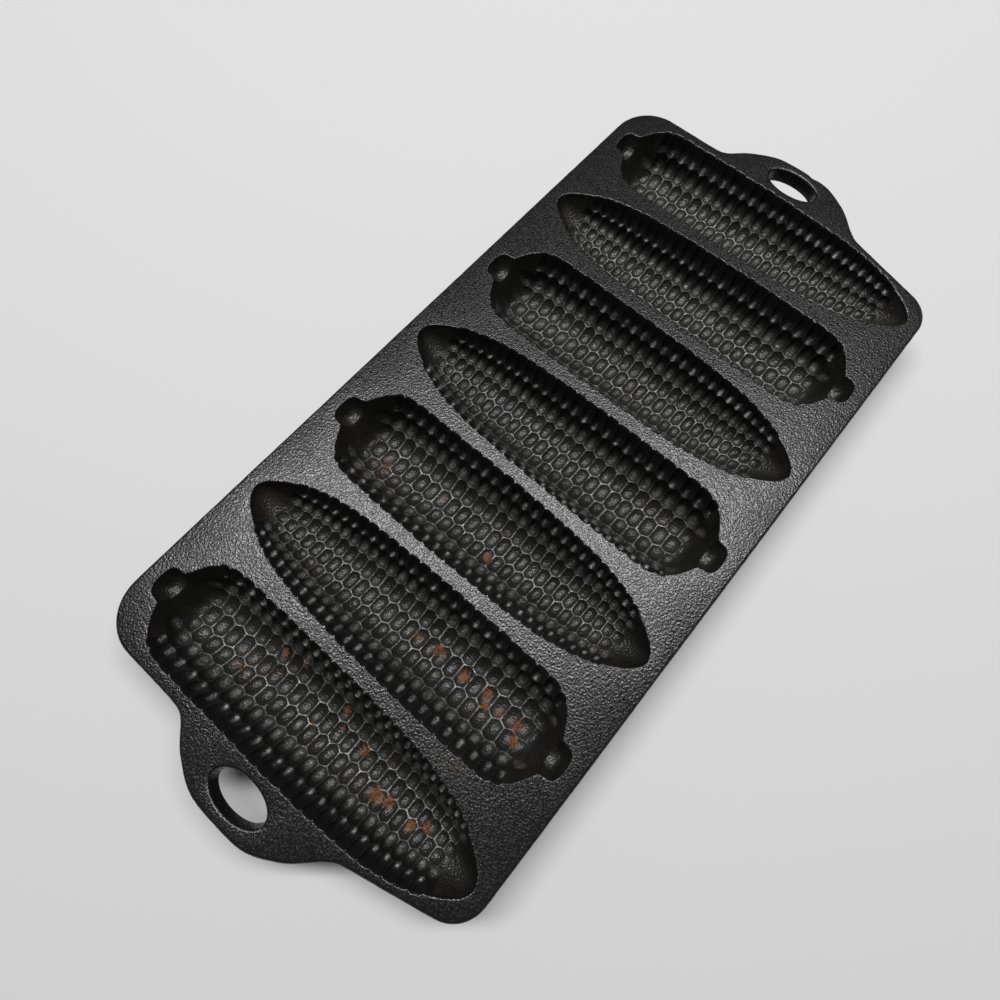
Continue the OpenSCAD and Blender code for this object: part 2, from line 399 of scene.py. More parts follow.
@dataclass(frozen=True)
class KernelPattern:
    """How the kernels are laid out and hollowed, in millimetres and degrees where they have a unit.

    A pair of numbers is where a change begins and where it is complete.
    """

    # Rows along the cob and columns across it
    rows: int = 25
    growth: float = 0.19
    start: float = 0.0905
    end: float = 0.937
    turn: float = 4.0
    lean: float = 20.0
    wave: float = 0.062
    borders: tuple = (-90, -61, -37.5, -12.5, 12.5, 39.5, 62.5, 90)
    rim_spread: float = 3.36
    rim_gap: float = 0.05
    half_row: float = 2.3
    half_column: float = 3.5
    # Points of the mesh in half a row and in a column
    row_steps: tuple = (0, 0.06, 0.13, 0.23, 0.36, 0.5, 0.64, 0.77, 0.87, 0.94)
    column_steps: tuple = (
        0, 0.02, 0.045, 0.08, 0.13, 0.2, 0.3, 0.4, 0.5, 0.6, 0.7, 0.8, 0.87, 0.92, 0.955, 0.98,
    )
    # One kernel's hollow
    depth: float = 1.15
    slim_depth: float = 0.45
    steepness: float = 2.5
    squareness: float = 3.6
    wall_steepness: float = 4.5
    wall_squareness: float = 3.0
    crest: float = 0.05
    crest_cut: tuple = (0.9, 1.2)
    # Angles at which the wall begins, kernels deepen, their feet deepen, and they thin out at the mouth
    wall_rise: tuple = (42, 58)
    deepening: tuple = (36, 66)
    wall_gain: float = 0.45
    foot_rise: tuple = (36, 50)
    foot_gain: float = 0.55
    mouth_rise: tuple = (70, 88)
    mouth_share: float = 0.5
    short_rows_within: float = 60
    # Unevenness from kernel to kernel
    first_seed: int = 40
    depth_spread: float = 0.12
    tilt: float = 0.08
    shift: float = 0.08
    # Ridges painted bright for their wear and as painted highlight, and the painted shade on the flanks
    # beside them
    ridge_edge: tuple = (0.29, 0.06)
    flank_rise: tuple = (0.3, 0.95)
    flank_clear: float = 0.35
    bright_ridges: tuple = (42, 20)
    outer_ridges: float = 0.35
    wall_ridges: float = 0.2
    end_rows: tuple = (-0.4, 1.6)
    # Painted highlights: bright glint dots at the feet of the two outermost columns, the lower one first
    dot_size: tuple = (0.8, 0.42)
    dot_place: tuple = (0.3, 0.88)
    dot_glint: tuple = (0.3, 0.55)
    dot_core: float = 0.3
    dot_length: float = 1.4

    def stations(self) -> np.ndarray:
        """Places along the cob for the mesh, closer together where kernels meet.

        Formula: the steps are repeated in every half row, and the place grows with
        s (1 + g (1 - s)), where s is the share of the rows, so kernels are longest at the stem.

        Returns:
            Shares of the length from the stem's end, rising.
        """
        half_rows = np.arange(2 * self.rows)[:, None] + self.row_steps
        return self.place_at(np.r_[half_rows.ravel(), 2 * self.rows] / (2 * self.rows))

    def place_at(self, s: np.ndarray) -> np.ndarray:
        """The place along the cob at a share of the rows."""
        return self.start + (self.end - self.start) * s * (1 + self.growth * (1 - s))

    def row_at(self, place: np.ndarray) -> np.ndarray:
        """Counts kernels from the stem, by reading place_at backwards; numbers go beyond both ends."""
        s = np.linspace(-0.1, 1.1, 1201)
        return self.rows * np.interp(place, self.place_at(s), s)

    def spread(self) -> np.ndarray:
        """How many columns each row of the mesh is away from the middle one's middle.

        Formula: the steps are repeated in every column, from the rim inwards, and are the same
        read from either side.

        Returns:
            Column counts, falling from the rim to just above 0.
        """
        whole = len(self.borders) // 2
        out = (np.arange(whole)[:, None] + self.column_steps).ravel() - 0.5
        out = out[(out > 0) & (out < self.rim_spread - self.rim_gap)]
        return np.r_[self.rim_spread, out[::-1]]

    def bend(self, column: np.ndarray, place: np.ndarray) -> np.ndarray:
        """Where the columns run: they lean along the cob and their borders wave.

        Formula: borders move by the cosine of two half turns a row, so cells are six-sided; the
        lean grows evenly with the place and fades towards the rims.

        Args:
            column: column numbers from the left rim, with the place in the column behind the point.
            place: shares of the length from the stem's end.

        Returns:
            Angles from straight down in degrees.
        """
        count = np.arange(len(self.borders))
        row = self.row_at(place)
        inside = ease(0, 1, row) * ease(self.rows, self.rows - 1, row)
        border = np.round(column)
        inner = (border > 0) & (border < count[-1])
        near = inner * (1 - 2 * np.abs(column - border))
        column = column - near * inside * self.wave * np.cos(math.pi * (2 * row + border))
        angle = np.interp(column, count, self.borders)
        return angle + self.turned(place) * (1 - np.abs(angle) / 90)

    def turned(self, place: np.ndarray) -> np.ndarray:
        """Degrees by which the middle column is turned to one side at a place along the cob."""
        return self.turn + self.lean * (place - 0.5)

    def column_at(self, angle: np.ndarray, place: np.ndarray) -> np.ndarray:
        """Counts columns at an angle and a place, by reading bend backwards without its waves."""
        past = angle - self.turned(place)
        even = past / (1 - np.sign(past) * self.turned(place) / 90)
        return np.interp(even, self.borders, np.arange(len(self.borders)))

    def dish(self, along: np.ndarray, side: np.ndarray, wall: np.ndarray) -> tuple:
        """One kernel's hollow inside a cell that runs from -1 to 1 both ways.

        Formula: with q the rounded distance (|a|^n + |b|^n)^(1/n), the hollow is 1 - q^m, cut off
        at zero by a hyperbola, so floors are dished and the ridges between them are thin. On the
        walls m is greater, which leaves a small ledge at the foot of each kernel. Ridges run where
        the nearest border is close, and flanks lie between them and the floor. The ridge mask carries
        the ridges' wear and painted highlight, and the flank mask is painted shade.

        Args:
            along: position in the cell along the cob.
            side: position in the cell across the cob.
            wall: 1 on the steep walls, 0 on the floor.

        Returns:
            The hollow as a share of the full depth, the ridge mask, which carries wear and painted highlight,
            and the flank mask, which carries painted shade.
        """
        n = self.squareness + (self.wall_squareness - self.squareness) * wall
        q = (np.abs(along) ** n + np.abs(side) ** n) ** (1 / n)
        raw = 1 - q ** (self.steepness + (self.wall_steepness - self.steepness) * wall)
        hollow = 0.5 * (raw + np.sqrt(raw * raw + self.crest**2))
        hollow = np.maximum(hollow - 0.5 * self.crest * ease(*self.crest_cut, q), 0)
        nearest = np.minimum(self.half_row * (1 - np.abs(along)), self.half_column * (1 - np.abs(side)))
        # Painted shade: the flank mask darkens the kernels' flanks beside the ridges.
        flank = ease(*self.flank_rise, q) * ease(0, self.flank_clear, nearest)
        return hollow, ease(*self.ridge_edge, nearest), flank

    def painted_glints(self, along: np.ndarray, foot: np.ndarray, out: np.ndarray) -> np.ndarray:
        """Painted highlights: bright dots low in the kernels of the two outermost columns, where the light
        would glint.

        Formula: an oval spot in the cell that fades from its core to its size.

        Args:
            along: position in the cell along the cob.
            foot: position in the cell towards the cob's middle.
            out: columns between the cell and the outermost one.

        Returns:
            How bright each point is, from 0 to 1.
        """
        pairs = (self.dot_size, self.dot_place, self.dot_glint)
        size, place, glint = (np.where(out == 0, upper, lower) for lower, upper in pairs)
        far = np.hypot(along, self.dot_length * (foot - place))
        return ease(size, self.dot_core * size, far) * glint * (out <= 1)

    def faded_ridges(self, ridge: np.ndarray, steep: np.ndarray, row: np.ndarray) -> np.ndarray:
        """Fades the ridges' wear and painted highlight beyond the middle columns, more on the walls, where
        painted shade holds the highlight back, and towards both ends of the cob.

        Args:
            ridge: the ridge mask, carrying wear and painted highlight.
            steep: degrees from straight down, at each point.
            row: rows from the stem.

        Returns:
            The fainter ridge mask.
        """
        inner = self.outer_ridges + (1 - self.outer_ridges) * ease(*self.bright_ridges, steep)
        ends = ease(*self.end_rows, row) * ease(*self.end_rows, self.rows - row)
        # Painted shade: on the walls most of the ridges' painted highlight is taken away.
        return ridge * inner * (1 - (1 - self.wall_ridges) * ease(*self.wall_rise, steep)) * ends

    def deepened(self, steep: np.ndarray, foot: np.ndarray) -> np.ndarray:
        """How much deeper kernels are on the walls, more so at their feet, and shallower at the mouth.

        Args:
            steep: degrees from straight down, at each point.
            foot: position in the cell towards the cob's middle.

        Returns:
            Factors for the depth.
        """
        wall = 1 + self.wall_gain * ease(*self.deepening, steep)
        mouth = 1 - (1 - self.mouth_share) * ease(*self.mouth_rise, steep)
        return wall * mouth * (1 + self.foot_gain * np.maximum(foot, 0) * ease(*self.foot_rise, steep))

    def hollows(self, place: np.ndarray, column: np.ndarray, size: np.ndarray, seed: int) -> tuple:
        """How deep the kernels are hollowed at each point, and where their ridges run.

        Formula: the column number and the row number of a point pick its kernel, every second column
        being half a row later, and what follows the numbers' points is the place in the cell.

        Args:
            place: shares of the length from the stem's end.
            column: column numbers counted from the left rim.
            size: the cob's half width over its greatest, at each point.
            seed: number of the cup, for its own small unevenness.

        Returns:
            Depths in millimetres, and by name the ridge mask of wear and painted highlight, the flank mask of
            painted shade, and the wall mask.
        """
        last = len(self.borders) - 1
        cell = np.clip(np.floor(column).astype(int), 0, last - 1)
        side = np.clip(2 * (column - cell) - 1, -1, 1)
        side = np.where(cell == 0, np.maximum(side, 0), np.where(cell == last - 1, np.minimum(side, 0), side))
        early = (cell + 1) % 2
        row = self.row_at(place)
        shifted = row + 0.5 * early
        number = np.clip(np.floor(shifted).astype(int) + 1, 0, self.rows + 1)
        along = 2 * (shifted - np.floor(shifted)) - 1
        # Each kernel's own depth, shift and two tilts
        random = np.random.default_rng(self.first_seed + seed)
        own = random.normal(0, 1, (4, last, self.rows + 2)).clip(-2, 2)[:, cell, number]
        along = along + self.shift * own[1] * (1 - along**2)
        steep = np.abs(np.interp(column, np.arange(last + 1), self.borders))
        wall = ease(*self.wall_rise, steep)
        hollow, ridge, flank = self.dish(along, side, wall)
        foot = -np.sign(column - last / 2) * side
        # Painted highlights: glints low in the kernels of the two outermost columns, joined to the ridge
        # mask.
        painted_glints = self.painted_glints(along, foot, np.minimum(cell, last - 1 - cell))
        ridge = np.maximum(self.faded_ridges(ridge, steep, row), painted_glints)
        uneven = (1 + self.depth_spread * own[0]) * (1 + self.tilt * (own[2] * along + own[3] * side))
        whole = (shifted >= early - 1) & (shifted <= self.rows)
        whole = whole & ((row > 0) | (steep < self.short_rows_within))
        slim = self.slim_depth + (1 - self.slim_depth) * size
        hollow = self.depth * uneven * hollow * slim * whole * self.deepened(steep, foot)
        return hollow, {"ridge": ridge * whole, "flank": flank * whole, "wall": wall}


@dataclass(frozen=True)
class RustSpot:
    """A rusty patch, placed in the row frame in millimetres."""

    x: float
    y: float
    radius: float
    strength: float = 1.0


@dataclass
class CobCup:
    """One cup: its kernel-lined cavity, the rounded mouth at the deck and the smooth outside below."""

    node: str
    turned: bool
    centre_x: float
    top: float
    underside: float
    seed: int
    rust: tuple = ()
    profile: CobProfile = field(default_factory=CobProfile)
    kernels: KernelPattern = field(default_factory=KernelPattern)
    tip_rays: int = 46
    tip_samples: int = 240
    stem_rays: int = 90
    stem_samples: int = 400
    mouth_passes: int = 3
    wall_passes: int = 60
    rim_angle: float = 86.0
    push_down: float = 0.9
    push_bend: tuple = (38.6, 64.3)
    foot_depths: tuple = (0.62, 0.82)
    foot_columns: tuple = (2.5, 1.8)
    mouth_round: float = 0.6
    mouth_steps: int = 5
    wall: float = 2.4
    floor_wall: float = 5.1
    end_power: int = 10
    halvings: int = 24
    flare: float = 0.5
    flare_steps: int = 4
    shell_rows: int = 13
    rough_within: tuple = (1.6, 0.5)

    def __post_init__(self) -> None:
        """Works out the stations round the mouth once, because every surface of the cup uses them."""
        p = self.profile
        self.spine_place = self.kernels.stations()
        half, count = p.half_at(self.spine_place), len(self.spine_place)
        tip = self.end_outline(np.linspace(self.kernels.end, 1, self.tip_samples), -1, self.tip_rays)
        stem = self.end_outline(np.linspace(self.kernels.start, 0, self.stem_samples), 1, self.stem_rays)
        beside, round_end = np.ones(count, bool), np.zeros
        self.has_kernels = np.r_[beside, round_end(len(tip), bool), beside, round_end(len(stem), bool)]
        self.rim_place = np.r_[self.spine_place, tip[:, 0], self.spine_place[::-1], stem[:, 0]]
        self.rim_side = np.r_[-half, tip[:, 1], half[::-1], stem[:, 1]]
        order = np.arange(count)
        self.spine = np.r_[order, np.full(len(tip), count - 1), order[::-1], np.full(len(stem), 0)]
        plan = np.c_[self.rim_side, self.rim_place * p.length]
        self.mouth_out = outward(relax(plan, self.mouth_passes))
        smooth = relax(plan, self.wall_passes)
        self.wall_out = outward(smooth)
        self.outside = smooth + self.wall * self.wall_out

    def end_outline(self, places: np.ndarray, turn: int, count: int) -> np.ndarray:
        """The mouth's outline round one end of the cob, evenly spaced.

        Formula: along one side at the half width and back along the other, resampled by length.

        Args:
            places: shares of the length, from the kernels' end to the cob's end.
            turn: -1 to start on the left side, 1 to start on the right.
            count: points wanted between the two sides.

        Returns:
            Rows of place and sideways distance.
        """
        half, scale = self.profile.half_at(places), self.profile.length
        there = np.c_[places * scale, turn * half]
        back = np.c_[places[::-1] * scale, -turn * half[::-1]]
        return resample(np.r_[there, back], count + 2)[1:-1] / [scale, 1]

    def to_row(self, side: np.ndarray, place: np.ndarray, z: np.ndarray) -> np.ndarray:
        """Places points of the cup in the row frame.

        Formula: the cob runs from plus half its length to minus half along Y, and a turned cup is
        turned half a turn about its middle.

        Args:
            side: distance across the cob.
            place: share of the length from the stem's end.
            z: height in the row frame.

        Returns:
            Points in millimetres.
        """
        turn = -1 if self.turned else 1
        side, y, z = np.broadcast_arrays(side, self.profile.length * (0.5 - place), z)
        return np.stack([self.centre_x + turn * side, turn * y, z], axis=-1)

    def push(self, angle: np.ndarray) -> tuple:
        """The direction in which kernels are hollowed, sideways and downwards.

        Formula: at right angles to the section near the floor, bending downwards on the walls, and
        level in the topmost columns, so that no kernel would hold a baked stick back.

        Args:
            angle: angles from straight down, in degrees.

        Returns:
            The sideways parts and the downward parts, of length one together.
        """
        p, step = self.profile, 0.5
        low = p.width / 2 * (p.across(angle + step) - p.across(angle - step))
        out = -p.depth * (p.down(angle + step) - p.down(angle - step))
        steep = np.hypot(out, low)
        out, low = out / steep, low / steep + self.push_down * ease(*self.push_bend, np.abs(angle))
        level = np.abs(angle) > self.push_bend[1]
        out, low = np.where(level, np.sign(angle), out), np.where(level, 0, low)
        steep = np.hypot(out, low)
        return out / steep, low / steep

    def lining(self) -> tuple:
        """The cavity's surface, as rows from the mouth to the spine and then the spine itself.

        Formula: beside the kernels each ray follows the section by angle. Round the two ends it runs
        straight in plan from the outline to the spine's end, and the depth is read from the section
        at each point. The kernels are then pushed in. Round the stem's end they reach up the foot of
        the wall, in the middle columns only.

        Returns:
            Points of the rays, points of the spine, and the masks of both.
        """
        p, kernels = self.profile, self.kernels
        spread, centre = kernels.spread()[:, None], (len(kernels.borders) - 1) / 2
        start = self.spine_place[self.spine]
        spine_side = p.half_at(start) * p.across(kernels.turned(start))
        column = centre + np.sign(self.rim_side) * spread
        angle = kernels.bend(column, start)
        share = p.across(self.rim_angle * spread / spread[0])
        place = start + (self.rim_place - start) * share
        fan_side = spine_side + (self.rim_side - spine_side) * share
        side = np.where(self.has_kernels, p.half_at(start) * p.across(angle), fan_side)
        fan_angle = p.angle_beside(np.clip(side / np.maximum(p.half_at(place), 1e-6), -1, 1))
        angle = np.where(self.has_kernels, angle, fan_angle)
        column = np.where(self.has_kernels, column, kernels.column_at(angle, place))
        deep = p.deep_at(place) * p.down(angle)
        hollow, masks = kernels.hollows(place, column, 2 * p.half_at(place) / p.width, self.seed)
        foot = ease(*self.foot_depths, p.deep_at(place) / p.depth) * (place < 0.5)
        foot = foot * ease(*self.foot_columns, np.abs(column - centre))
        reach = np.where(self.has_kernels, 1, foot)
        hollow, masks = hollow * reach, {name: values * reach for name, values in masks.items()}
        out, low = self.push(angle)
        points = self.to_row(side + out * hollow, place, self.top - deep - low * hollow)
        place = self.spine_place
        angle, size = kernels.turned(place), 2 * p.half_at(place) / p.width
        hollow, crests = kernels.hollows(place, np.full_like(place, centre), size, self.seed)
        out, low = self.push(angle)
        depth = p.deep_at(place) * p.down(angle) + low * hollow
        spine = self.to_row(p.half_at(place) * p.across(angle) + out * hollow, place, self.top - depth)
        return points, spine, masks, crests

    def plan_shift(self, direction: np.ndarray) -> np.ndarray:
        """Turns directions in the cup's own plan into the row frame's plan."""
        turn = -1 if self.turned else 1
        return turn * direction * [1, -1]

    def mouth(self, first_row: np.ndarray) -> np.ndarray:
        """The rounded edge from the deck down to the cavity's wall, whose uppermost row is given."""
        out, rise = self.plan_shift(self.mouth_out), self.top - first_row[:, 2]
        return turned_out(first_row, out, self.mouth_round, rise, self.mouth_steps)

    def outside_depth(self, share: np.ndarray) -> np.ndarray:
        """Depth of the outside below the deck's top along the rays from the spine.

        Formula: half an ellipse across the cob, wider and deeper than the cavity by the wall, and
        rounded off towards the two ends by a high power of the share.

        Args:
            share: share of the way from the spine to the outline.

        Returns:
            Depths in millimetres.
        """
        p = self.profile
        start = self.spine_place[self.spine]
        place = start + (self.outside[:, 1] / p.length - start) * share
        beside = np.clip(self.outside[:, 0] * share / (p.half_at(place) + self.wall), -1, 1)
        ends = np.where(self.has_kernels, 1, np.sqrt(1 - np.clip(share, 0, 1) ** self.end_power))
        return (p.deep_at(place) + self.floor_wall) * np.sqrt(1 - beside**2) * ends

    def shell(self) -> tuple:
        """The cup's smooth outside, as rows from the deck's underside to the spine and then the spine.

        Formula: each ray starts where the outside comes up to the foot of a small flare below the
        deck, found by halving, and is cut level where it would pass below the floor. The flare is a
        quarter turn outwards.

        Returns:
            Points of the rays and points of the spine.
        """
        p = self.profile
        low, high = np.zeros(len(self.rim_side)), np.ones(len(self.rim_side))
        level = self.top - self.underside + self.flare
        for _ in range(self.halvings):
            middle = (low + high) / 2
            deeper = self.outside_depth(middle) > level
            low, high = np.where(deeper, middle, low), np.where(deeper, high, middle)
        turn = np.linspace(math.pi / 2, 0, self.shell_rows, endpoint=False)[:, None]
        share = low * np.sin(turn)
        start = self.spine_place[self.spine]
        place = start + (self.outside[:, 1] / p.length - start) * share
        height = np.clip(self.top - self.outside_depth(share), 0, self.underside - self.flare)
        body = self.to_row(self.outside[:, 0] * share, place, height)
        flare = turned_out(body[0], self.plan_shift(self.wall_out), self.flare, self.flare, self.flare_steps)
        flare[0, :, 2] = self.underside
        bottom = np.maximum(self.top - p.deep_at(self.spine_place) - self.floor_wall, 0)
        return np.concatenate([flare, body]), self.to_row(np.zeros_like(bottom), self.spine_place, bottom)

    def onto_spine(self, last_row: np.ndarray, spine: np.ndarray) -> list:
        """Joins the innermost row of rays to the spine.

        Args:
            last_row: vertex numbers of the innermost row.
            spine: vertex numbers of the spine.

        Returns:
            An array of triangles and one of quads.
        """
        after, below = np.roll(last_row, -1), spine[self.spine]
        below_after = np.roll(below, -1)
        same = below == below_after
        triangles = np.stack([last_row, after, below], axis=1)[same]
        return [triangles, np.stack([last_row, after, below_after, below], axis=1)[~same]]

    def shape(self) -> None:
        """Works out the cup's surfaces and keeps the two loops where it meets the deck."""
        self.rays, self.spine_points, self.masks, self.spine_masks = self.lining()
        self.edge = self.mouth(self.rays[0])
        self.skin, self.keel = self.shell()
        self.deck_loop, self.under_loop = self.edge[0], self.skin[0]

    def build(self) -> bpy.types.Object:
        """Puts lining, mouth and outside together as one closed piece.

        Returns:
            The cup, standing for its solid.
        """
        surface = Surface()
        fall = self.top - self.rays[..., 2]
        edge = surface.add(self.edge, rough=1.0, rust=self.rust_at(self.edge))
        rough = ease(*self.rough_within, fall)
        rays = surface.add(self.rays, rough=rough, rust=self.rust_at(self.rays), **self.masks)
        spine = surface.add(self.spine_points, rust=self.rust_at(self.spine_points), **self.spine_masks)
        skin, keel = surface.add(self.skin, rough=1.0), surface.add(self.keel, rough=1.0)
        surface.faces = [band(np.concatenate([edge, rays])), band(skin), band(np.stack([edge[0], skin[0]]))]
        surface.faces += self.onto_spine(rays[-1], spine) + self.onto_spine(skin[-1], keel)
        piece = surface.build(f"{self.node}_iron")
        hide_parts(self.node)
        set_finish(piece, Slot.CUP.value)
        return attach(piece, ROOT)

    def rust_at(self, points: np.ndarray) -> np.ndarray:
        """How rusty each point is: each patch fades by a bell curve in plan, and the strongest counts.

        Args:
            points: points in the row frame.

        Returns:
            Numbers from 0 to 1.
        """
        mask = np.zeros(points.shape[:-1])
        for spot in self.rust:
            gap = np.hypot(points[..., 0] - spot.x, points[..., 1] - spot.y) / spot.radius
            mask = np.maximum(mask, spot.strength * np.exp(-gap * gap))
        return mask


@dataclass(frozen=True)
class PlateForm:
    """The deck's outline in plan, in millimetres: discs whose hull is the plate, mirrored in X."""

    discs: tuple = ((129, 56.9, 16.3), (129, 0, 16.3), (125.65, -36.6, 16.3), (123.5, -61, 12.2))
    joint_x: float = 142.8
    handle_half: float = 34.0
    handle_reach: float = 16.7
    handle_edge: tuple = (
        (0, 1), (0.15, 0.993), (0.309, 0.964), (0.456, 0.86), (0.574, 0.727), (0.676, 0.6),
        (0.765, 0.44), (0.882, 0.2), (1, 0),
    )
    blend: float = 1.6
    blend_ends: tuple = (6, -2)
    points: int = 1300
    directions: int = 1441
    passes: int = 6

    def right_side(self) -> np.ndarray:
        """The outline's right half, from the back edge to the front edge.

        Formula: for every direction the disc that reaches furthest gives the hull's point. Beside
        the handle the edge is the rounded greater of the hull and the handle, (a + b + root of
        ((a - b)^2 + k^2)) / 2, which fades out just beyond the handle's ends.

        Returns:
            Points in plan.
        """
        x, y, r = np.array(self.discs).T
        turn = np.radians(np.linspace(90, -90, self.directions))[:, None]
        reach = x * np.cos(turn) + y * np.sin(turn) + r
        best = np.argmax(reach, axis=1)
        hull = np.c_[x[best] + r[best] * np.cos(turn[:, 0]), y[best] + r[best] * np.sin(turn[:, 0])]
        hull = resample(np.r_[[[0, hull[0, 1]]], hull, [[0, hull[-1, 1]]]], self.points)
        share = np.clip(np.abs(hull[:, 1]) / self.handle_half, 0, 1)
        handle = self.joint_x + self.handle_reach * smooth_lookup(share, self.handle_edge)
        gap = hull[:, 0] - handle
        both = (hull[:, 0] + handle + np.sqrt(gap**2 + self.blend**2)) / 2
        both = np.minimum(both, self.joint_x + self.handle_reach)
        begins, whole = self.handle_half + np.array(self.blend_ends)
        on_end = (np.abs(hull[:, 1]) < begins) & (hull[:, 0] > self.joint_x - begins)
        fade = ease(begins, whole, np.abs(hull[:, 1]))
        hull[:, 0] += np.where(on_end, fade * (both - hull[:, 0]), 0)
        return hull

    def outline(self) -> np.ndarray:
        """The whole outline as a closed loop: the right half and its mirror image, evenly spaced."""
        right = self.right_side()
        loop = np.r_[right, right[::-1] * [-1, 1]]
        return relax(resample(np.r_[loop, loop[:1]], self.points + 1)[:-1], self.passes)


@dataclass
class PanDeck:
    """The cast deck with its rounded edges, its two handles and their hanging holes."""

    top: float
    underside: float
    cups: list
    plate: PlateForm = field(default_factory=PlateForm)
    edge_round: float = 1.1
    under_round: float = 0.5
    edge_draft: float = 0.2
    edge_steps: tuple = (5, 4)
    edge_passes: int = 20
    hole_x: float = 150.0
    hole_half: tuple = (5.5, 10.8)
    hole_draft: float = 0.7
    hole_round: float = 0.9
    hole_under_round: float = 0.54
    hole_steps: tuple = (5, 3)
    hole_points: int = 140
    unevenness: float = 0.14
    wave_seed: int = 7
    wave_counts: tuple = (9, 230, 34)
    nick: tuple = (159.4, -4.6, 1.8, 0.5)

    def uneven(self, loop: np.ndarray) -> np.ndarray:
        """Draws the outline in by a little here and there, as a sand mould leaves it.

        Formula: waves of many lengths along the outline with seeded phases, added up and made
        positive, and one shallow nick in the right handle's edge as a bell curve.

        Args:
            loop: the even outline.

        Returns:
            The uneven outline, nowhere outside the even one.
        """
        random = np.random.default_rng(self.wave_seed)
        along = np.linspace(0, 2 * math.pi, len(loop), endpoint=False)
        waves = np.unique(random.integers(*self.wave_counts))
        phases = random.uniform(0, 2 * math.pi, len(waves))
        heights = np.sin(waves[:, None] * along + phases[:, None]) / np.sqrt(waves)[:, None]
        rough = heights.sum(axis=0)
        rough = (rough - rough.min()) / np.ptp(rough)
        x, y, width, depth = self.nick
        gap = np.hypot(loop[:, 0] - x, loop[:, 1] - y)
        inward = self.unevenness * rough + depth * np.exp(-((gap / width) ** 2))
        return loop - outward(loop) * inward[:, None]

    def edge(self) -> np.ndarray:
        """The deck's outer edge, as rows of closed loops from its top face to its underside."""
        loop = self.uneven(self.plate.outline())
        top = (self.top, self.edge_round, self.edge_steps[0])
        underside = (self.underside, self.under_round, self.edge_steps[1])
        return rounded_side(loop, outward(relax(loop, self.edge_passes)), top, underside, self.edge_draft)

    def hole(self, side: int) -> np.ndarray:
        """A handle's hanging hole, as rows of closed loops from the top face to the underside.

        Formula: an ellipse that draws in towards the underside, widened by a quarter turn at both
        ends.

        Args:
            side: -1 for the left handle, 1 for the right.

        Returns:
            Rows of closed loops.
        """
        angle = np.linspace(0, 2 * math.pi, self.hole_points, endpoint=False)
        ring = np.c_[self.hole_half[0] * np.cos(angle), self.hole_half[1] * np.sin(angle)]
        centre = np.array([side * self.hole_x, 0])
        top = (self.top, self.hole_round, self.hole_steps[0])
        underside = (self.underside, self.hole_under_round, self.hole_steps[1])
        return rounded_side(centre + ring, -outward(ring), top, underside, -self.hole_draft)

    def build(self) -> bpy.types.Object:
        """Joins edge, holes, the walls behind the cups and both faces into one closed piece.

        Returns:
            The deck, standing for the deck's and the handles' solids.
        """
        surface = Surface()
        edge = surface.add(self.edge(), rough=1.0)
        tops, bottoms = [], []
        for side in (-1, 1):
            hole = surface.add(self.hole(side), rough=1.0)
            surface.faces.append(band(hole))
            tops.append(hole[0])
            bottoms.append(hole[-1])
        for cup in self.cups:
            wall = surface.add(np.stack([cup.deck_loop, cup.under_loop]), rough=1.0)
            surface.faces.append(band(wall))
            tops.append(wall[0])
            bottoms.append(wall[1])
        surface.faces.append(band(edge))
        surface.cap(edge[0], tops)
        surface.cap(edge[-1], bottoms)
        piece = surface.build("deck_iron")
        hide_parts(*DECK_NODES)
        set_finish(piece, Slot.DECK.value)
        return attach(piece, ROOT)


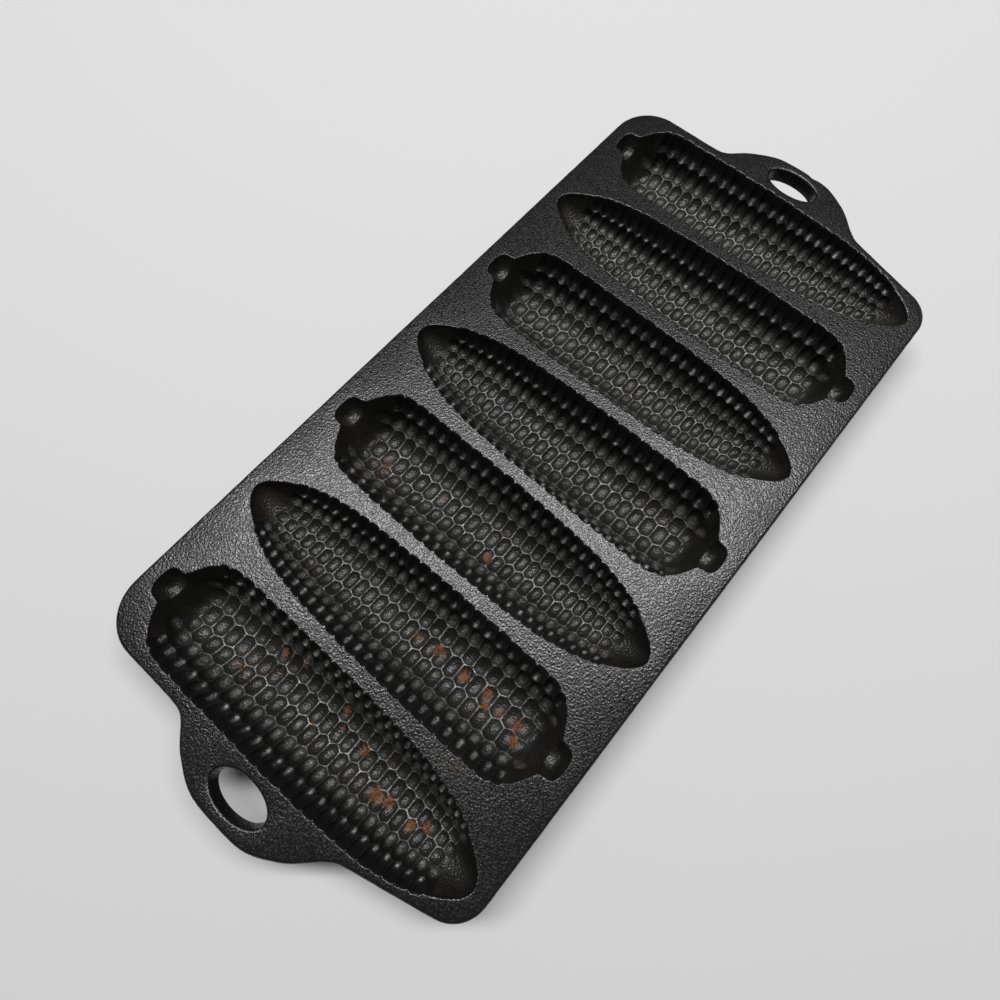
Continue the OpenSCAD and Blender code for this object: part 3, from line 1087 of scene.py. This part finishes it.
class Wiring:
    """Adds shader nodes to a tree and joins them."""

    def __init__(self, tree: bpy.types.NodeTree) -> None:
        """Keeps the tree and empties it."""
        self.tree = tree
        self.tree.nodes.clear()

    def add(self, kind: str, settings: dict | None = None, **inputs: object) -> bpy.types.Node:
        """Adds a node.

        Args:
            kind: the node's type, without its ShaderNode prefix.
            settings: properties of the node itself.
            inputs: sockets by name, with underscores for spaces, each a value or another socket.

        Returns:
            The node.
        """
        node = self.tree.nodes.new(f"ShaderNode{kind}")
        for name, value in (settings or {}).items():
            setattr(node, name, value)
        for name, value in inputs.items():
            self.feed(node.inputs[name.replace("_", " ")], value)
        return node

    def feed(self, socket: bpy.types.NodeSocket, value: object) -> None:
        """Joins a socket to another, or sets its value."""
        if isinstance(value, bpy.types.NodeSocket):
            self.tree.links.new(value, socket)
        else:
            socket.default_value = value

    def sum(self, kind: str, first: object, second: object, clamp: bool = False) -> bpy.types.NodeSocket:
        """Works out one number from two.

        Args:
            kind: the operation's name in Blender.
            first: a number or a socket.
            second: a number or a socket.
            clamp: whether the result is kept between 0 and 1.

        Returns:
            The result's socket.
        """
        node = self.add("Math", {"operation": kind, "use_clamp": clamp})
        self.feed(node.inputs[0], first)
        self.feed(node.inputs[1], second)
        return node.outputs[0]

    def blend(self, share: object, first: object, second: object) -> bpy.types.NodeSocket:
        """Mixes two colours.

        Args:
            share: how much of the second.
            first: a colour or a socket.
            second: a colour or a socket.

        Returns:
            The mixed colour's socket.
        """
        node = self.add("Mix", {"data_type": "RGBA"})
        self.feed(node.inputs["Factor"], share)
        self.feed(node.inputs["A"], first)
        self.feed(node.inputs["B"], second)
        return node.outputs["Result"]

    def between(
        self, value: object, source: tuple = (0.0, 1.0), result: tuple = (0.0, 1.0)
    ) -> bpy.types.NodeSocket:
        """Spreads a number smoothly from one range to another.

        Args:
            value: the number's socket.
            source: the range that it comes in.
            result: what the range's two ends give, each a number or a socket.

        Returns:
            The result's socket.
        """
        node = self.add("MapRange", {"interpolation_type": "SMOOTHSTEP"}, Value=value)
        for label, end in zip(("From Min", "From Max", "To Min", "To Max"), (*source, *result)):
            self.feed(node.inputs[label], end)
        return node.outputs["Result"]

    def noise(self, size: float, detail: float = 2.0, roughness: float = 0.5) -> bpy.types.NodeSocket:
        """A cloudy pattern on Object coordinates.

        Args:
            size: its patches' size in millimetres.
            detail: how many finer layers it has.
            roughness: how strong they are.

        Returns:
            The pattern's socket, about 0.5 on average.
        """
        place = self.add("TexCoord").outputs["Object"]
        node = self.add("TexNoise", Vector=place, Scale=1 / (size * MM), Detail=detail, Roughness=roughness)
        return node.outputs["Fac"]

    def mask(self, mask: Mask) -> bpy.types.NodeSocket:
        """Reads one of the piece's own masks."""
        return self.add("Attribute", {"attribute_name": mask.value}).outputs["Fac"]


def new_group(name: str, inputs: tuple, outputs: dict) -> tuple:
    """Starts a node group whose sockets are named.

    Args:
        name: the group's name.
        inputs: names of number inputs.
        outputs: output names with their socket types.

    Returns:
        The group, its wiring, its inputs by name and its output node.
    """
    group = bpy.data.node_groups.new(name, "ShaderNodeTree")
    for label in inputs:
        group.interface.new_socket(label, in_out="INPUT", socket_type="NodeSocketFloat")
    for label, kind in outputs.items():
        group.interface.new_socket(label, in_out="OUTPUT", socket_type=kind)
    wiring = Wiring(group)
    source = group.nodes.new("NodeGroupInput")
    return group, wiring, source.outputs, group.nodes.new("NodeGroupOutput")


@dataclass(frozen=True)
class CastGrain:
    """The pebbled skin that a sand mould leaves: sizes in millimetres, and how high each layer stands."""

    pebble: float = 0.75
    pebble_height: float = 0.6
    pebble_side: tuple = (0.15, 0.75)
    softness: float = 0.7
    fine: float = 0.42
    fine_height: float = 0.7
    fine_roughness: float = 0.6
    speckle: float = 0.42
    speckle_range: tuple = (0.33, 0.67)

    def group(self) -> bpy.types.NodeTree:
        """Builds the grain: pebbles from a smooth cell pattern with finer noise over them.

        Returns:
            A group that takes the grain's depth and puts out its height and its speckle.
        """
        outputs = {"Height": "NodeSocketFloat", "Speckle": "NodeSocketFloat"}
        group, wiring, source, sink = new_group("cast_grain", ("Depth",), outputs)
        place = wiring.add("TexCoord").outputs["Object"]
        kind, scale = {"feature": "SMOOTH_F1"}, 1 / (self.pebble * MM)
        cells = wiring.add("TexVoronoi", kind, Vector=place, Scale=scale, Smoothness=self.softness)
        pebbles = wiring.between(cells.outputs["Distance"], self.pebble_side, (1.0, 0.0))
        pebbles = wiring.sum("MULTIPLY", pebbles, self.pebble_height)
        fine = wiring.noise(self.fine, roughness=self.fine_roughness)
        fine = wiring.sum("MULTIPLY", fine, self.fine_height)
        height = wiring.sum("MULTIPLY", wiring.sum("ADD", pebbles, fine), source["Depth"])
        wiring.feed(sink.inputs["Height"], height)
        speckle = wiring.between(wiring.noise(self.speckle, detail=1.0), self.speckle_range)
        wiring.feed(sink.inputs["Speckle"], speckle)
        return group


@dataclass(frozen=True)
class RustStain:
    """Rust that has come up in single kernels, and one smudge of it on the deck, in millimetres."""

    crumb: float = 0.9
    crumb_range: tuple = (0.3, 0.7)
    crumb_gain: tuple = (-0.4, 0.25)
    edge: tuple = (0.18, 0.65)
    smudge_at: tuple = (-101.8, -42.0, 22.0)
    smudge_radius: float = 7.0
    smudge_strength: float = 0.16
    smudge_crumb: float = 0.8
    smudge_range: tuple = (0.35, 0.6)
    tint: float = 0.45
    tint_range: tuple = (0.3, 0.65)
    dark: tuple = (0.03, 0.014, 0.008, 1)
    bright: tuple = (0.23, 0.088, 0.032, 1)

    def group(self) -> bpy.types.NodeTree:
        """Builds the rust: patches and the smudge, both broken up by noise, in two browns.

        Returns:
            A group that takes how rusty the iron is and puts out the rust's mask and its colour.
        """
        outputs = {"Mask": "NodeSocketFloat", "Color": "NodeSocketColor"}
        group, wiring, source, sink = new_group("rust_stain", ("Amount",), outputs)
        crumbs = wiring.noise(self.crumb, detail=4.0, roughness=0.7)
        crumbs = wiring.between(crumbs, self.crumb_range, self.crumb_gain)
        patches = wiring.between(wiring.sum("ADD", source["Amount"], crumbs), self.edge)
        place = wiring.add("TexCoord").outputs["Object"]
        away = wiring.add("VectorMath", {"operation": "DISTANCE"}, Vector=place)
        away.inputs[1].default_value = Vector(self.smudge_at) * MM
        inwards, strength = (self.smudge_radius * MM, 0.0), (0.0, self.smudge_strength)
        near = wiring.between(away.outputs["Value"], inwards, strength)
        broken = wiring.between(wiring.noise(self.smudge_crumb, detail=3.0), self.smudge_range)
        smudge = wiring.sum("MULTIPLY", near, broken)
        wiring.feed(sink.inputs["Mask"], wiring.sum("MAXIMUM", patches, smudge))
        tint = wiring.between(wiring.noise(self.tint), self.tint_range)
        wiring.feed(sink.inputs["Color"], wiring.blend(tint, self.dark, self.bright))
        return group


@dataclass(frozen=True)
class IronFinish:
    """Seasoned cast iron: rough outside and on the deck, smoother inside the cups, and blacker there by
    painted shade on the steep walls and the kernels' flanks.
    """

    slot: Slot
    # Colours: the rough skin, the inside with its olive patches, the ridges' wear and painted highlight, and
    # the painted shade of the steep walls and flanks
    rough_colour: tuple = (0.007, 0.007, 0.0075, 1)
    smooth_colour: tuple = (0.008, 0.0078, 0.0072, 1)
    olive_colour: tuple = (0.018, 0.0165, 0.0115, 1)
    ridge_wear_and_highlight_colour: tuple = (0.3, 0.297, 0.285, 1)
    painted_shade_colour: tuple = (0.0012, 0.0012, 0.0014, 1)
    patch: float = 14.0
    patch_range: tuple = (0.42, 0.68)
    patch_share: float = 0.8
    flank_shade_share: float = 0.85
    # The ridges' wear and painted highlight are strong in some places and faint in others
    wear: float = 2.6
    wear_range: tuple = (0.35, 0.6)
    wear_result: tuple = (0.18, 1.0)
    # Shader roughness of each region, and how much the speckle changes it
    rough_gloss: float = 0.29
    smooth_gloss: float = 0.38
    ridge_gloss: float = 0.3
    wall_gloss: float = 0.5
    flank_gloss: float = 0.75
    speckle_gloss: float = 0.26
    rough_speckle_gloss: float = 0.44
    rust_gloss: float = 0.35
    speckle_tone: tuple = (0.25, 1.75)
    # Depth of the grain in millimetres, on the deck and in the cups
    grain_depth: float = 0.085
    cup_grain_depth: float = 0.15
    refraction: float = 1.6

    def colour(self, w: Wiring, masks: dict, skin: object, stain: object) -> bpy.types.NodeSocket:
        """Mixes the iron's colour from its regions, with painted shade and painted highlights among them, its
        speckle and its rust.

        Args:
            w: the material's wiring.
            masks: the piece's masks, the ridges' wear and painted highlight already varied.
            skin: outputs of the cast grain.
            stain: outputs of the rust.

        Returns:
            The colour's socket.
        """
        patches = w.between(w.noise(self.patch), self.patch_range)
        inside = w.blend(w.sum("MULTIPLY", patches, self.patch_share), self.smooth_colour, self.olive_colour)
        # Painted shade on the kernels' flanks, in the same near-black as the walls.
        inside = w.blend(w.sum("MULTIPLY", masks[Mask.FLANK], self.flank_shade_share), inside, self.painted_shade_colour)
        # Painted shade: the steep walls are darkened to near black.
        inside = w.blend(masks[Mask.WALL], inside, self.painted_shade_colour)
        # Wear and painted highlight: the ridges and the painted glints are light grey.
        inside = w.blend(masks[Mask.RIDGE], inside, self.ridge_wear_and_highlight_colour)
        colour = w.blend(masks[Mask.ROUGH], inside, self.rough_colour)
        tone = w.between(skin["Speckle"], result=self.speckle_tone)
        colour = w.add("VectorMath", {"operation": "SCALE"}, Scale=tone, Vector=colour).outputs["Vector"]
        return w.blend(stain["Mask"], colour, stain["Color"])

    def gloss(self, w: Wiring, masks: dict, skin: object, stain: object) -> bpy.types.NodeSocket:
        """Works out the shader's roughness, region over region, then the speckle and the rust.

        Args:
            w: the material's wiring.
            masks: the piece's masks, the ridges' wear and painted highlight already varied.
            skin: outputs of the cast grain.
            stain: outputs of the rust.

        Returns:
            The roughness's socket.
        """
        gloss = self.smooth_gloss
        regions = {
            Mask.FLANK: self.flank_gloss,
            Mask.WALL: self.wall_gloss,
            Mask.RIDGE: self.ridge_gloss,
            Mask.ROUGH: self.rough_gloss,
        }
        for mask, own in regions.items():
            gloss = w.between(masks[mask], result=(gloss, own))
        uneven = w.between(masks[Mask.ROUGH], result=(self.speckle_gloss, self.rough_speckle_gloss))
        gloss = w.sum("ADD", gloss, w.sum("MULTIPLY", w.sum("SUBTRACT", 0.5, skin["Speckle"]), uneven))
        return w.sum("ADD", gloss, w.sum("MULTIPLY", stain["Mask"], self.rust_gloss), True)

    def material(self, grain: bpy.types.NodeTree, rust: bpy.types.NodeTree) -> bpy.types.Material:
        """Builds the finish.

        Args:
            grain: the cast grain's group.
            rust: the rust's group.

        Returns:
            The material, named after its slot.
        """
        material = bpy.data.materials.new(self.slot.value)
        material.use_nodes = True
        w = Wiring(material.node_tree)
        masks = {mask: w.mask(mask) for mask in Mask}
        deep = self.cup_grain_depth if self.slot is Slot.CUP else self.grain_depth
        skin = w.add("Group", {"node_tree": grain}, Depth=deep * MM).outputs
        stain = w.add("Group", {"node_tree": rust}, Amount=masks[Mask.RUST]).outputs
        # The ridges' wear and painted highlight vary at random.
        wear = w.between(w.noise(self.wear), self.wear_range, self.wear_result)
        masks[Mask.RIDGE] = w.sum("MULTIPLY", masks[Mask.RIDGE], wear)
        bump = w.add("Bump", Height=skin["Height"], Distance=1.0, Strength=1.0)
        iron = w.add(
            "BsdfPrincipled",
            Base_Color=self.colour(w, masks, skin, stain),
            Roughness=self.gloss(w, masks, skin, stain),
            Normal=bump.outputs["Normal"],
            IOR=self.refraction,
        )
        w.feed(w.add("OutputMaterial").inputs["Surface"], iron.outputs["BSDF"])
        return material


@dataclass(frozen=True)
class Studio:
    """A pale floor, a large soft light and the camera of the photograph, in metres and degrees."""

    camera_at: tuple = (-0.07812, -0.03629, 0.21271)
    camera_turn: tuple = (17.5795, -0.5713, -49.1416)
    lens: float = 21.291
    sensor: float = 36.0
    nearest: float = 0.005
    floor_colour: tuple = (0.78, 0.78, 0.785, 1)
    floor_gloss: float = 0.75
    floor_reach: float = 3.0
    sky: float = 0.05
    light_at: tuple = (0.32, 0.24, 1.6)
    light_turn: float = -49.1
    light_size: tuple = (2.0, 0.36)
    light_power: float = 30.0

    def build(self) -> list:
        """Sets up floor, light, sky and camera.

        Returns:
            The objects that aren't part of the pan.
        """
        scene = bpy.context.scene
        mesh = bpy.data.meshes.new("floor")
        reach = self.floor_reach
        corners = [(-reach, -reach, 0), (reach, -reach, 0), (reach, reach, 0), (-reach, reach, 0)]
        mesh.from_pydata(corners, [], [(0, 1, 2, 3)])
        floor = bpy.data.objects.new("floor", mesh)
        pale = bpy.data.materials.new("pale_floor")
        pale.use_nodes = True
        shader = pale.node_tree.nodes["Principled BSDF"]
        shader.inputs["Base Color"].default_value = self.floor_colour
        shader.inputs["Roughness"].default_value = self.floor_gloss
        mesh.materials.append(pale)
        lamp = bpy.data.lights.new("soft_light", "AREA")
        lamp.shape, lamp.energy = "RECTANGLE", self.light_power
        lamp.size, lamp.size_y = self.light_size
        light = bpy.data.objects.new("soft_light", lamp)
        light.location = self.light_at
        light.rotation_euler = (0, 0, math.radians(self.light_turn))
        view = bpy.data.cameras.new("photo_camera")
        view.lens, view.sensor_width, view.clip_start = self.lens, self.sensor, self.nearest
        camera = bpy.data.objects.new("photo_camera", view)
        camera.location = self.camera_at
        camera.rotation_euler = Euler([math.radians(a) for a in self.camera_turn])
        world = bpy.data.worlds.new("soft_sky")
        world.use_nodes = True
        world.node_tree.nodes["Background"].inputs["Color"].default_value = (1, 1, 1, 1)
        world.node_tree.nodes["Background"].inputs["Strength"].default_value = self.sky
        scene.world = world
        made = [floor, light, camera]
        for item in made:
            scene.collection.objects.link(item)
        scene.camera = camera
        scene.view_settings.view_transform = "Standard"
        return made


RUST_BY_CUP = {
    1: (
        RustSpot(-125.7, 0.9, 1.2, 0.6),
        RustSpot(-114.8, -4.5, 1.6, 0.8),
        RustSpot(-120.3, -6.7, 1.3, 0.5),
        RustSpot(-120.3, -17.5, 2.2, 0.7),
        RustSpot(-126.8, -29.5, 2.4, 1.0),
        RustSpot(-125.7, -33.8, 2.0, 1.0),
        RustSpot(-125.7, -43.6, 1.8, 1.0),
        RustSpot(-122.4, -47.9, 2.0, 0.8),
        RustSpot(-115.9, 24.7, 1.4, 1.0),
        RustSpot(-113.8, 16.1, 1.5, 0.7),
        RustSpot(-127.0, 33.0, 5.0, 0.3),
        RustSpot(-122.0, 22.0, 4.0, 0.3),
    ),
    2: (
        RustSpot(-81.2, -14.3, 2.1, 1.0),
        RustSpot(-82.3, -26.2, 2.1, 1.0),
        RustSpot(-81.2, -36.0, 1.9, 1.0),
        RustSpot(-84.5, -38.1, 1.4, 1.0),
        RustSpot(-82.3, -50.1, 2.4, 0.8),
        RustSpot(-86.7, -52.2, 2.0, 0.9),
        RustSpot(-82.3, -5.6, 1.5, 0.7),
        RustSpot(-83.0, -43.5, 2.2, 0.6),
    ),
    3: (
        RustSpot(-46.4, -5.7, 1.8, 1.0),
        RustSpot(-40.1, 21.5, 1.5, 0.4),
        RustSpot(-45.0, 46.0, 6.0, 0.35),
    ),
}


@dataclass
class CornStickPan:
    """The whole pan: seven cups in the cast deck."""

    rust: dict = field(default_factory=lambda: RUST_BY_CUP)

    def cups(self, top: float, underside: float) -> list:
        """Works out the seven cups from their solids' places.

        Args:
            top: height of the deck's top in millimetres.
            underside: height of its underside.

        Returns:
            The cups, not yet built.
        """
        made = []
        for number, node in enumerate(CUP_NODES, 1):
            low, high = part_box(node)
            centre = (low.x + high.x) / 2 / MM
            cup = CobCup(node, number % 2 == 0, centre, top, underside, number, self.rust.get(number, ()))
            cup.shape()
            made.append(cup)
        return made

    def build(self) -> None:
        """Builds and dresses every piece and reports it."""
        low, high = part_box("deck")
        top, underside = high.z / MM, low.z / MM
        grain, rust = CastGrain().group(), RustStain().group()
        finish = {slot: IronFinish(slot).material(grain, rust) for slot in Slot}
        cups = self.cups(top, underside)
        for part in [PanDeck(top, underside, cups), *cups]:
            piece = part.build()
            piece.data.materials.append(finish[Slot(piece["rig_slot"])])
            log.info("%s: %d faces", piece.name, len(piece.data.polygons))


def main() -> None:
    """Builds the pan and its studio."""
    logging.basicConfig(level=logging.INFO, format="%(message)s")
    CornStickPan().build()
    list(Studio().build())


if __name__ == "__main__":
    main()
